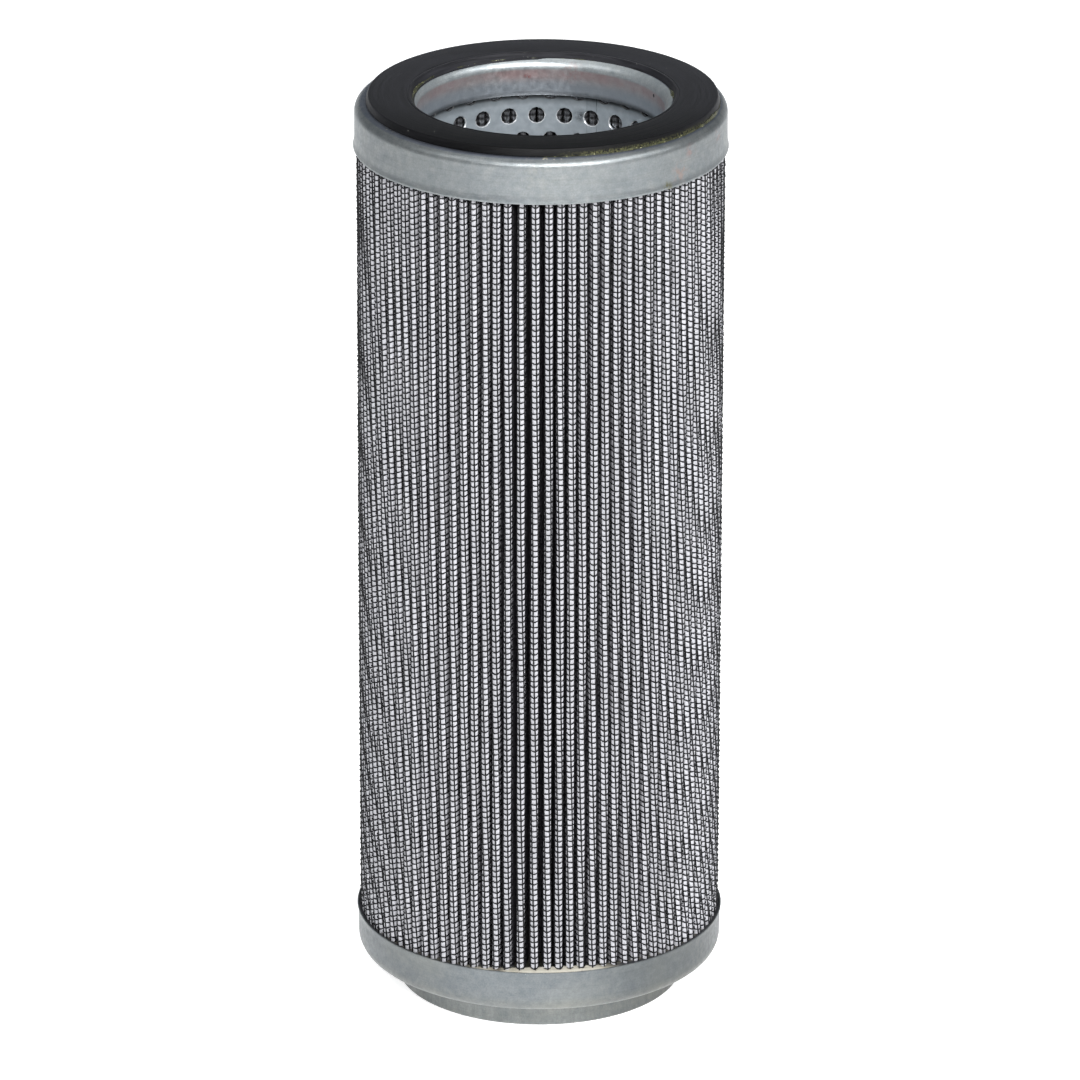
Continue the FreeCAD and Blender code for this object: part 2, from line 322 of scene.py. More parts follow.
def neck_zinc(settings):
    """Inside of the neck: the cap's zinc lightened as painted light, reddish haze under the lip,
    bluer below, a few marks, and painted shade along the lower edge.
    """
    # Painted light: the neck uses the cap's zinc at almost twice the tone of the outside.
    look = zinc("neck_zinc", settings, 1.62, 0.75)
    band = look.times(look.along("Z", TOP_RING - 1.9, TOP_RING - 2.7),
                      look.along("Z", TOP_RING - 7.5, TOP_RING - 3.4))
    patch = look.patches(70, 5, 0.7, (0.34, 0.42), (0.60, 1.0))
    look.paint(look.times(band, patch, 0.75), (0.42, 0.27, 0.268))
    blue = look.times(look.along("Z", TOP_RING - 4.0, TOP_RING - 7.0), 0.6)
    look.paint(blue, (0.29, 0.325, 0.38))
    look.spots(900, 0.46, 0.60, (
        ((-3.8, 33.6, 253.6), 1.7, (0.34, 0.09, 0.09), 0.75),
        ((8.5, 32.9, 255.2), 5.0, (0.36, 0.12, 0.12), 0.35),
    ))
    dot = look.ramp(look.near((30.8, 13.9, 254.6), 0.85), (0.25, 0.0), (0.5, 1.0))
    look.paint(dot, (0.03, 0.03, 0.03))
    # Painted shade: the neck's lower edge is darkened, standing for the shadow there and dimming
    # its highlight.
    edge = look.ramp(look.along("Z", TOP_RING - 9.5, TOP_RING - 8.2), (0.0, 0.22), (1.0, 1.0))
    look.tint(edge)
    return look.done()


def bottom_cap_zinc(settings):
    """Bottom cap: duller, with upright grain on the boss, painted shade towards the left and right
    sides, and painted glints on the front rim.
    """
    look = zinc("cap_zinc_bottom", settings, 0.665, 0.80, 0.16)
    # Painted shade: the cap darkens towards its left and right sides, more so on the right.
    look.tint(look.ramp(
        look.along("X", -50, 50), (0.04, 0.78), (0.26, 1.0), (0.62, 1.0), (0.92, 0.60)))
    skirt = look.along("Z", 10.5, 14.0)
    look.tint(look.mix(skirt, (1.035, 1.02, 0.975), (0.985, 1.0, 1.015)))
    ribs = look.ramp(look.noise(950, 3, 0.6, look.stretched((1, 1, 0.12))),
                     (0.36, 0.98), (0.60, 1.14))
    look.tint(ribs, look.times(look.along("Z", 9.5, 8.0), 0.8))
    # Painted highlight: small pale dots on the front rim stand for glints.
    speck = look.times(look.dots(900, 0.2), look.near((-4.0, -51.0, 21.0), 7.0),
                       look.along("Z", 20.2, 20.6))
    look.paint(speck, (0.62, 0.62, 0.60))
    return look.done()


def core_zinc():
    """Bluish galvanised perforated strip, with the tube's weld as two faint broken lines, a smudge
    beside it and shade below the neck."""
    look = Finish("core_zinc", metallic=0.55, roughness=0.42)
    look.mottle((500, 4, 0.6), (0.3, (0.365, 0.415, 0.455)), (0.7, (0.48, 0.53, 0.57)), 0.12, 0.3)
    weld = math.radians(66)
    across, outward = (look.vector("DOT_PRODUCT", look.place, direction)["Value"] for direction in (
        (math.sin(weld), -math.cos(weld), 0), (math.cos(weld), math.sin(weld), 0)))
    line = look.math("COMPARE", look.math("ABSOLUTE", across), 1.45 * MM, 0.13 * MM)
    broken = look.patches(260, 2, 0.6, (0.42, 0.25), (0.54, 0.95))
    seam = look.times(line, look.math("GREATER_THAN", outward, 0.0), broken)
    look.paint(seam, (0.12, 0.14, 0.16))
    look.spots(900, 0.34, 0.54, (
        ((10.9, 32.6, 242.5), 2.8, (0.10, 0.11, 0.12), 1.0),
    ))
    shade = look.ramp(look.along("Z", 244.8, 248.2),
                      (0.0, 1.0), (0.2, 0.80), (0.6, 0.55), (0.85, 0.15), (1.0, 0.1))
    look.roughness = look.patches(800, 3, 0.6, (0.3, 0.34), (0.7, 0.50))
    look.tint(shade)
    return look.done()


def punched_edge():
    """Bright edge round each punched hole, partly burnished bare steel and partly a painted
    highlight, in shade below the neck.
    """
    look = Finish("punched_edge", metallic=0.45, roughness=0.3)
    # Partly the bare steel of the cut, partly a painted highlight: the edge's colour is near-white
    # so that it reads as lit.
    look.mottle((1100, 3, 0.6), (0.3, (0.62, 0.66, 0.69)), (0.6, (0.98, 0.99, 1.0)), 0.1, 0.2)
    look.tint(look.ramp(look.along("Z", 243.6, 244.6), (0.0, 1.0), (1.0, 0.1)))
    return look.done()


def rubber(settings):
    """Satin black rubber with faint moulding rings and pale specks, with painted shade that keeps
    the front darkest and paler towards the back, and a film of adhesive on its side at the front
    right."""
    look = Finish("black_rubber", roughness=0.42, specular=0.13)
    around = look.vector("NORMALIZE", look.stretched((1, 1, 0)))["Vector"]
    turn = look.node("SeparateXYZ", {0: around}).outputs
    polar = look.node("CombineXYZ", {
        0: look.times(look.radius(), 2600), 1: look.times(turn[0], 2.5),
        2: look.times(turn[1], 2.5)}).outputs[0]
    rings = look.noise(1.0, 4, 0.7, polar)
    black = tuple(settings.rubber)
    look.colour = look.ramp(rings, (0.34, black), (0.70, [part * 3.1 for part in black]))
    # Painted shade: the seal is darkest at the front and paler towards the back.
    look.tint(look.ramp(
        look.along("Y", -46, 30), (0.0, 0.22), (0.45, 1.25), (1.0, 1.75)))
    pick = look.patches(300, 2, 0.5, (0.60, 0.0), (0.66, 1.0))
    look.paint(look.times(look.dots(620, 0.075), pick), (0.30, 0.30, 0.28))
    film = look.times(
        look.between(look.radius(), 47.3, 47.8), look.along("X", 2, 14), look.along("Y", -14, -26),
        look.along("Z", TOP_RING + 1.5, TOP_RING + 0.5),
        look.patches(1700, 4, 0.75, (0.45, 0.0), (0.62, 0.75)))
    look.paint(film, (0.115, 0.115, 0.05))
    look.roughness = look.ramp(rings, (0.3, 0.36), (0.7, 0.50))
    look.bump(rings, 0.22, 0.2)
    look.bump(look.noise(1800, 3, 0.6), 0.06, 0.2)
    return look.done()


def adhesive(settings):
    """Olive adhesive with pale yellow crumbs."""
    look = Finish("green_adhesive", roughness=0.34, specular=0.45)
    glue = tuple(settings.glue)
    look.mottle((900, 4, 0.7), (0.34, [part * 0.18 for part in glue]), (0.62, glue), 0.5, 0.4)
    crumbs = look.times(look.dots(1500, 0.30),
                        look.patches(500, 2, 0.5, (0.46, 0.0), (0.56, 0.8)))
    look.paint(crumbs, (0.50, 0.49, 0.27))
    return look.done()


def resin():
    """Cream potting resin with a dull skin and a few dark crumbs, in shade under the wires at the
    front and against the skirt at the sides."""
    look = Finish("cream_resin", roughness=0.5, specular=0.4)
    look.mottle((260, 4, 0.6), (0.3, (0.31, 0.29, 0.235)), (0.7, (0.43, 0.41, 0.355)), 0.5, 0.5)
    shown = look.times(look.along("Y", -44.0, -48.5), look.between(look.radius(), 48.9, 49.8))
    look.tint(look.mix(shown, (0.27, 0.27, 0.265), (1.0, 1.0, 1.0)))
    look.spots(900, 0.32, 0.46, (
        ((-11.7, -49.2, 21.6), 3.2, (0.05, 0.04, 0.03), 1.0),
    ))
    edge = look.times(look.along("Y", -47.5, -44.0), look.between(look.radius(), 49.4, 49.9))
    look.paint(edge, (0.03, 0.03, 0.035))
    crumbs = look.times(look.patches(1500, 3, 0.6, (0.68, 0.0), (0.72, 1.0)), 0.7)
    look.paint(crumbs, (0.16, 0.13, 0.09))
    return look.done()


def media(settings):
    """White glass-fibre fleece: painted light on the crowns' sides, painted shade down the folds.
    """
    look = Finish("glass_fibre", roughness=0.85, specular=0.2)
    white = tuple(settings.media)
    look.mottle((1500, 5, 0.7), (0.30, [part * 0.82 for part in white]), (0.62, white), 0.25, 0.2)
    look.tint(look.patches(80, 3, 0.5, (0.3, 0.90), (0.6, 1.0)))
    depth = look.node("Attribute", attribute_name="depth").outputs["Fac"]
    # Painted light: the crowns' sides are lightened where they would fall into shade.
    look.tint(look.ramp(depth, (0.02, 1.0), (0.075, 1.65), (0.13, 1.4)))
    # Painted shade: the media darkens with depth down the folds.
    fold_shade = look.ramp(depth, (0.10, 0.0), (0.16, 0.5), (0.23, 0.86), (0.34, 1.0))
    look.paint(fold_shade, (0.10, 0.095, 0.11))
    return look.done()


def coated_wire():
    """Black epoxy-coated wire."""
    look = Finish("coated_wire", roughness=0.5, specular=0.15)
    look.mottle((2400, 3, 0.6), (0.3, (0.006, 0.006, 0.007)), (0.75, (0.022, 0.022, 0.024)),
                0.2, 0.1)
    return look.done()


def support_cloth():
    """Inner mesh: close dark upright ribs with a metal shine, crossed by finer level wires, with
    painted shade between them.
    """
    look = Finish("support_cloth", metallic=0.85, roughness=0.22)
    level_wires = look.node(
        "TexWave", {"Vector": look.place, "Scale": 200}, bands_direction="Z").outputs["Fac"]
    look.bump(level_wires, 0.3, 0.4)
    look.mottle((1600, 3, 0.6), (0.3, (0.20, 0.20, 0.21)), (0.75, (0.50, 0.50, 0.52)), 0.2, 0.1)
    # The level wires' pattern, with painted shade between the wires and painted light on their
    # tops.
    look.tint(look.ramp(level_wires, (0.2, 0.35), (0.7, 1.0)))
    return look.done()


def side_glue():
    """Grey glue of the pack's side join."""
    look = Finish("side_glue", roughness=0.6, specular=0.4)
    look.mottle((700, 4, 0.6), (0.3, (0.02, 0.02, 0.02)), (0.7, (0.07, 0.07, 0.065)), 0.4, 0.4)
    return look.done()


# Making pieces

def clear_selection():
    if bpy.context.object and bpy.context.object.mode != "OBJECT":
        bpy.ops.object.mode_set(mode="OBJECT")
    bpy.ops.object.select_all(action="DESELECT")


def mend(merge=0):
    """Joins the active piece's points that lie closer than a distance in millimetres, and turns
    its faces outward."""
    bpy.ops.object.mode_set(mode="EDIT")
    bpy.ops.mesh.select_all(action="SELECT")
    if merge:
        bpy.ops.mesh.remove_doubles(threshold=merge * MM)
    bpy.ops.mesh.normals_make_consistent(inside=False)
    bpy.ops.object.mode_set(mode="OBJECT")


def smooth(degrees):
    """Shades the active piece smooth, with edges that turn more than an angle kept sharp."""
    bpy.ops.object.shade_smooth_by_angle(angle=math.radians(degrees))


def on_circle(centre, radius, angles):
    return np.asarray(centre) + radius * np.column_stack([np.cos(angles), np.sin(angles)])


def bend_points(centre, radius, start, end, steps):
    """Points of a bend in a half section, from the start to the end angle in degrees."""
    return on_circle(centre, radius, np.radians(np.linspace(start, end, steps + 1))).tolist()


def turned(name, section, segments=192, filled=False):
    """A turned piece: a circle, extruded and widened from point to point of its half section. A
    filled piece starts and ends with a flat disc, and otherwise the last ring meets the first."""
    clear_selection()
    radius, height = section[0]
    bpy.ops.mesh.primitive_circle_add(
        vertices=segments, radius=radius * MM, location=(0, 0, height * MM),
        fill_type="NGON" if filled else "NOTHING")
    piece = bpy.context.object
    piece.name = name
    bpy.ops.object.mode_set(mode="EDIT")
    bpy.ops.mesh.select_mode(type="EDGE")
    if filled:
        bpy.ops.mesh.select_all(action="SELECT")
    for wide, high in section[1:] if filled else section[1:] + section[:1]:
        bpy.ops.mesh.extrude_edges_move(
            TRANSFORM_OT_translate={"value": (0, 0, (high - height) * MM)})
        bpy.ops.transform.resize(
            value=(wide / radius, wide / radius, 1), center_override=(0, 0, high * MM))
        radius, height = wide, high
    if filled:
        bpy.ops.mesh.edge_face_add()
    mend(0.002)
    bpy.ops.object.transform_apply(location=True, rotation=True, scale=True)
    smooth(40)
    return piece


def mesh_piece(name, points, faces, degrees=None, merge=0):
    """A piece from worked-out points in millimetres, for forms that repeat on a curve. It is left
    as the active piece, mended, and smoothed where an angle is given."""
    mesh = bpy.data.meshes.new(name)
    mesh.from_pydata((np.asarray(points, float) * MM).tolist(), [], faces)
    mesh.update()
    piece = bpy.data.objects.new(name, mesh)
    bpy.context.scene.collection.objects.link(piece)
    clear_selection()
    piece.select_set(True)
    bpy.context.view_layer.objects.active = piece
    mend(merge)
    if degrees:
        smooth(degrees)
    return piece


def walls(rings):
    """Faces between each ring of point numbers and the next one."""
    ahead = np.roll(rings, -1, axis=-1)
    corners = rings[..., :-1, :], ahead[..., :-1, :], ahead[..., 1:, :], rings[..., 1:, :]
    return np.stack(corners, axis=-1).reshape(-1, 4)


def settle(piece, slot, node, *materials):
    """Gives a finished piece its materials and its body, and hides the CAD node that it stands for.
    """
    for material in materials:
        piece.data.materials.append(material)
    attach(piece, "root")
    if node:
        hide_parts(node)


# The folds of the pack

class Folds:
    """Where each fold of the pack stands, and the line of its layers from root to root."""

    def __init__(self, settings):
        self.count = settings.folds
        self.half_crown = settings.crown / MM / 2
        self.root = settings.root / MM
        self.centre = CROWN - self.half_crown
        self.pitch = settings.pitch / MM
        spread = random.Random(11)
        step = 2 * math.pi / self.count
        turns = (np.arange(self.count) + 0.5) * step
        # The pack is opened a little wider near the front, and looser at the sides
        from_front = np.degrees((turns + math.pi) % (2 * math.pi) - math.pi)
        spread_at = (from_front + 4) / 7
        opened = np.radians(0.7 * spread_at * np.exp(0.5 - 0.5 * spread_at ** 2))
        loose = np.clip(np.abs(from_front) / 60, 0.2, 1.0) * (np.abs(from_front) < 174)
        jitter = np.array([spread.uniform(-0.06, 0.06) for _ in range(self.count)]) * step
        self.angles = -math.pi / 2 + turns + opened + loose * jitter
        after = np.append(self.angles[1:], self.angles[0] + 2 * math.pi)
        self.half_after = (after - self.angles) / 2
        self.half_before = np.roll(self.half_after, 1)
        self.phases = np.array([spread.uniform(0, 2 * math.pi) for _ in range(3 * self.count)])
        self.starts = [spread.uniform(0, self.pitch) for _ in range(self.count)]
        self.leans = [0.012 + 0.07 * math.cos(angle) ** 2 + spread.uniform(-0.004, 0.004)
                      for angle in self.angles]

    def half_line(self, half, depth, crown_steps=0, root_steps=0, flank_steps=1, cut=None):
        """Half of a fold at a depth in the pack: crown, flank and root, as radius and side. A line
        with a cut has three points on the crown and stops at that share of the flank."""
        centre, bend = np.array([self.centre, 0.0]), self.half_crown - depth
        valley = self.root * np.array([math.cos(half), math.sin(half)])
        down = valley - centre
        turn = math.asin(self.half_crown / np.linalg.norm(down))
        lean = math.atan2(down[1], down[0]) - turn
        normal = np.array([math.sin(lean), -math.cos(lean)])
        if normal[1] < 0:
            normal = -normal
        touch = math.atan2(normal[1], normal[0])
        start = centre + bend * normal
        flank = valley - depth * normal - start
        if cut is not None:
            crown = on_circle(centre, bend, touch * np.array([0.2, 0.56, 0.92]))
            return np.vstack([crown, start + flank * cut])
        crown = on_circle(centre, bend, np.linspace(0, touch, crown_steps + 1))
        first = math.atan2(-normal[1], -normal[0])
        last = half + math.pi
        last -= 2 * math.pi * round((last - first) / (2 * math.pi))
        root = on_circle(valley, depth, np.linspace(first, last, root_steps + 1)[1:])
        shares = np.linspace(0, 1, flank_steps + 1)[1:, None]
        return np.vstack([crown, start + flank * shares, root])

    def line(self, index, depth, **steps):
        """The whole line of one fold, from the middle of one root to the middle of the next."""
        right = self.half_line(self.half_after[index], depth, **steps)
        left = self.half_line(self.half_before[index], depth, **steps)
        left[:, 1] *= -1
        return np.vstack([left[::-1], right[1 if right[0, 1] < 1e-6 else 0:]])

    def sway(self, index, heights):
        """Slight wander of a crown up the pack: sideways and inwards."""
        one, two, three = self.phases[3 * index:3 * index + 3]
        side = 0.10 * np.sin(heights / 31 + one) + 0.05 * np.sin(heights / 12 + two)
        inward = 0.06 * (1 + np.sin(heights / 44 + three))
        return side, inward

    def drift(self, index, heights):
        """Where an upright wire stands, measured on the cloth from the crown's middle."""
        fall = PACK_HIGH - heights
        eased = 0.25 + 0.75 * fall / (PACK_HIGH - PACK_LOW)
        return self.starts[index] + self.leans[index] * fall * eased

    def woven(self, index, line, heights, signs, lift):
        """A level wire's line at each height, pressed in and out by the upright wires it crosses,
        and how far it climbs towards the flanks: more where it runs over the middle upright."""
        steps = np.linalg.norm(np.diff(line, axis=0), axis=1)
        cloth = np.concatenate([[0], np.cumsum(steps)])
        middle = len(line) // 2
        cloth -= (cloth[middle - 1] + cloth[middle]) / 2
        along = np.gradient(line, axis=0)
        outward = np.column_stack([along[:, 1], -along[:, 0]])
        outward /= np.linalg.norm(outward, axis=1, keepdims=True)
        drift = self.drift(index, heights)
        turns = math.pi * (cloth[None, :] - drift[:, None]) / self.pitch
        press = lift * (0.4 + signs[:, None] * np.cos(turns))
        over = signs * np.cos(math.pi * drift / self.pitch)
        turned_by = np.arctan2(np.abs(line[:, 1]), np.maximum(line[:, 0] - self.centre, 1e-6))
        climb = (0.27 + 0.18 * over)[:, None] * (1 - np.cos(turned_by))[None]
        return line[None] + press[..., None] * outward[None], climb

    def set_round(self, index, radial, across, heights):
        """Points of one fold, given as radius and side, turned to where the fold stands."""
        angle = self.angles[index]
        x = radial * math.cos(angle) - across * math.sin(angle)
        y = radial * math.sin(angle) + across * math.cos(angle)
        return np.stack([x, y, np.broadcast_to(heights, x.shape)], axis=-1)

    def placed(self, index, line, heights):
        """A fold's line set round the axis at each height: points of height by line by three."""
        line = np.broadcast_to(line, (len(heights),) + line.shape[-2:])
        side, inward = self.sway(index, heights)
        share = np.clip((line[..., 0] - self.root) / (CROWN - self.root), 0, 1) ** 1.5
        return self.set_round(index, line[..., 0] - share * inward[:, None],
                              line[..., 1] + share * side[:, None], heights[:, None])

    def on_crown(self, index, place, heights, depth):
        """Points of an upright wire from its place on the cloth of a crown."""
        bend = self.half_crown - depth
        quarter = bend * math.pi / 2
        inside = np.clip(place, -quarter, quarter)
        beyond = np.abs(place) - np.abs(inside)
        side, inward = self.sway(index, heights)
        radial = self.centre + bend * np.cos(inside / bend) - beyond - inward
        return self.set_round(index, radial, bend * np.sin(inside / bend) + side, heights)


def folded_layer(name, folds, depths, levels, **steps):
    """A folded sheet as one closed solid between two depths of the pack, with the depth in the
    folds kept as an attribute."""
    heights = np.linspace(level("filter_media", 0), level("filter_media", 1), levels)
    skins = [np.concatenate([folds.placed(index, folds.line(index, depth, **steps)[:-1], heights)
                             for index in range(folds.count)], axis=1) for depth in depths]
    points = np.concatenate([skin.reshape(-1, 3) for skin in skins])
    shift = len(points) // 2
    grid = np.arange(shift).reshape(levels, -1)
    ahead = np.roll(grid, -1, axis=1)
    outer = walls(grid)
    inner = outer[:, ::-1] + shift
    foot = np.stack([grid[0], grid[0] + shift, ahead[0] + shift, ahead[0]], axis=-1)
    head = np.stack([grid[-1], ahead[-1], ahead[-1] + shift, grid[-1] + shift], axis=-1)
    piece = mesh_piece(name, points, np.concatenate([outer, inner, foot, head]).tolist(), 50)
    radius = np.hypot(points[:, 0], points[:, 1])
    depth = piece.data.attributes.new("depth", "FLOAT", "POINT")
    depth.data.foreach_set("value", ((CROWN - radius) / (CROWN - folds.root)).astype(np.float32))
    return piece


def tubes(paths, radius, sides, first_turn=0.0):
    """Closed thin tubes along paths of equal length: points and faces of all of them at once."""
    paths = np.asarray(paths, float)
    count, length = paths.shape[:2]
    along = np.gradient(paths, axis=1)
    along /= np.linalg.norm(along, axis=-1, keepdims=True)
    rest = np.where(np.abs(along[..., 2:]) > 0.7, [1.0, 0.0, 0.0], [0.0, 0.0, 1.0])
    first = np.cross(along, rest)
    first /= np.linalg.norm(first, axis=-1, keepdims=True)
    second = np.cross(along, first)
    turns = first_turn + np.arange(sides) * 2 * math.pi / sides
    ring = (np.cos(turns)[None, None, :, None] * first[:, :, None]
            + np.sin(turns)[None, None, :, None] * second[:, :, None])
    points = paths[:, :, None] + radius * ring
    index = np.arange(count * length * sides).reshape(count, length, sides)
    ends = index[:, 0, ::-1].tolist() + index[:, -1].tolist()
    return points.reshape(-1, 3), walls(index).tolist() + ends


# Operators

class FILTER_OT_stage(bpy.types.Operator):
    """Pale floor, soft studio light and the camera"""

    bl_idname = "filter.stage"
    bl_label = "Stage"

    def execute(self, context):
        settings = context.scene.filter_stage
        self.add_floor(settings)
        self.add_lights(context)
        self.add_camera(context, settings)
        return {"FINISHED"}

    def add_floor(self, settings):
        """A floor that glows, less so far out at the sides."""
        clear_selection()
        bpy.ops.mesh.primitive_plane_add(size=12, location=(0, 0, 0))
        floor = bpy.context.object
        floor.name = "floor"
        paint = Finish("pale_floor", roughness=0.7, specular=0.2)
        tone = tuple(settings.floor)
        paint.colour = paint.patches(
            3, 2, 0.5, (0.3, [part * 0.985 for part in tone]), (0.7, tone))
        paint.shader.inputs["Emission Color"].default_value = (1.0, 1.0, 1.0, 1.0)
        sideways = paint.between(paint.math("ABSOLUTE", paint.axis("X")), 230, 760)
        dim = paint.times(sideways, -0.5 * settings.glow)
        paint.links.new(paint.math("ADD", dim, settings.glow),
                        paint.shader.inputs["Emission Strength"])
        floor.data.materials.append(paint.done())

    def add_lights(self, context):
        world = bpy.data.worlds.new("studio")
        world.use_nodes = True
        sky = world.node_tree.nodes["Background"].inputs
        sky["Color"].default_value = (0.88, 0.95, 1.0, 1)
        sky["Strength"].default_value = 0.21
        context.scene.world = world
        for name, place, aim, wide, high, power in (
            ("overhead", (0.0, 0.3, 2.3), (0, 0.3, 0), 1.8, 1.8, 9),
            ("front_box", (0.35, -1.75, 1.35), (0, 0, 0.13), 2.2, 0.42, 62),
            ("left_box", (-1.3, -0.7, 1.6), (0, 0, 0.13), 1.0, 0.8, 6),
            ("right_box", (1.4, -0.65, 1.3), (0, 0, 0.13), 1.0, 0.8, 9),
            ("back_box", (0.0, 2.6, 0.24), (0, 0, 0.24), 3.0, 0.44, 4),
        ):
            lamp = bpy.data.lights.new(name, "AREA")
            lamp.shape = "RECTANGLE"
            lamp.size, lamp.size_y = wide, high
            lamp.energy = power
            holder = bpy.data.objects.new(name, lamp)
            holder.location = place
            towards = Vector(aim) - Vector(place)
            holder.rotation_euler = towards.to_track_quat("-Z", "Y").to_euler()
            context.scene.collection.objects.link(holder)

    def add_camera(self, context, settings):
        camera = bpy.data.cameras.new("camera")
        camera.lens = settings.lens
        camera.sensor_width = 36
        camera.clip_end = 20
        holder = bpy.data.objects.new("camera", camera)
        context.scene.collection.objects.link(holder)
        pitch = settings.pitch
        back = Vector((0, -math.cos(pitch), math.sin(pitch)))
        place = Vector((0, 0, settings.aim)) + back * settings.distance
        turn = Matrix.Rotation(math.pi / 2 - pitch, 4, "X") @ Matrix.Rotation(settings.roll, 4, "Z")
        holder.matrix_world = Matrix.Translation(place) @ turn
        context.scene.camera = holder
        context.scene.view_settings.view_transform = "Standard"


class FILTER_OT_end_caps(bpy.types.Operator):
    """Drawn steel caps: skirt, flat ring, and a neck at the top or a closed boss below"""

    bl_idname = "filter.end_caps"
    bl_label = "End caps"

    def execute(self, context):
        steel = context.scene.filter_steel
        flare = steel.flare / MM
        self.top(steel, flare, SKIRT - flare)
        self.bottom(steel, flare, SKIRT - flare)
        return {"FINISHED"}

    def rim(self, skirt, flare, edge, up):
        """Outline of a flared rim from the inner wall round its edge to the outer wall. Up is 1
        where the cap stands above its rim and -1 where it hangs below."""
        outer = ((0.02, 2.4), (flare * 0.35, 1.3), (flare * 0.8, 0.6))
        outline = [
            *((out, back) for out, back in outer),
            (flare, 0.18), (flare - 0.08, 0.0), (flare - SHEET + 0.08, 0.0), (flare - SHEET, 0.12),
            *((out - SHEET, back) for out, back in outer[::-1]),
        ]
        return [(skirt + out, edge + up * back) for out, back in outline[::-1]]

    def top(self, steel, flare, skirt):
        bend, neck = steel.bend / MM, steel.neck / MM
        neck_bend, lip_height, ring_edge = 2.9, 0.75, 39.6
        shoulder = (skirt - bend, TOP_RING - bend)
        throat = (neck + neck_bend, TOP_RING + lip_height - neck_bend)
        neck_end = TOP_RING - NECK_DEPTH
        section = [
            *bend_points(shoulder, bend, 0, 90, 10),
            (44.0, TOP_RING),
            (ring_edge, TOP_RING),
            *bend_points(throat, neck_bend, 75, 180, 12),
            *((neck - inward, neck_end + up) for inward, up in (
                (0.0, 1.0), (0.05, 0.65), (0.14, 0.3), (0.26, 0.02), (0.2, 0.0))),
            (neck + SHEET - 0.08, neck_end),
            (neck + SHEET, neck_end + 0.1),
            *bend_points(throat, neck_bend - SHEET, 180, 75, 6),
            (ring_edge + 0.1, TOP_RING - SHEET),
            *bend_points(shoulder, bend - SHEET, 90, 0, 6),
            *self.rim(skirt, flare, TOP_RIM, 1),
        ]
        cap = turned("top_cap", section)
        settle(cap, "end_cap_steel", "top_end_cap", top_cap_zinc(steel), neck_zinc(steel))
        # The neck's inside, up to the lip, has a finish of its own: real haze and marks, and a tone
        # lightened as painted light
        for face in cap.data.polygons:
            middle = face.center / MM
            if math.hypot(middle.x, middle.y) < neck + 2.0 and middle.z < TOP_RING + 0.6:
                face.material_index = 1

    def bottom(self, steel, flare, skirt):
        boss, ring, bend = steel.boss / MM, 8.5, steel.low_bend / MM
        corner, foot_bend = 0.8, 1.2
        inside = boss - SHEET
        shoulder = (skirt - bend, ring + bend)
        section = [
            (boss - 2.5, SHEET),
            (inside - 0.5, SHEET),
            (inside, SHEET + 0.5),
            (inside, ring + SHEET - 0.4),
            (inside + 0.4, ring + SHEET),
            *bend_points(shoulder, bend - SHEET, -90, 0, 6),
            *self.rim(skirt, flare, BOTTOM_RIM, -1),
            *bend_points(shoulder, bend, 0, -90, 10),
            *bend_points((boss + corner, ring - corner), corner, 90, 180, 5),
            *bend_points((boss - foot_bend, foot_bend), foot_bend, 0, -90, 7),
        ]
        cap = turned("bottom_cap", section, filled=True)
        settle(cap, "end_cap_steel", "bottom_end_cap", bottom_cap_zinc(steel))


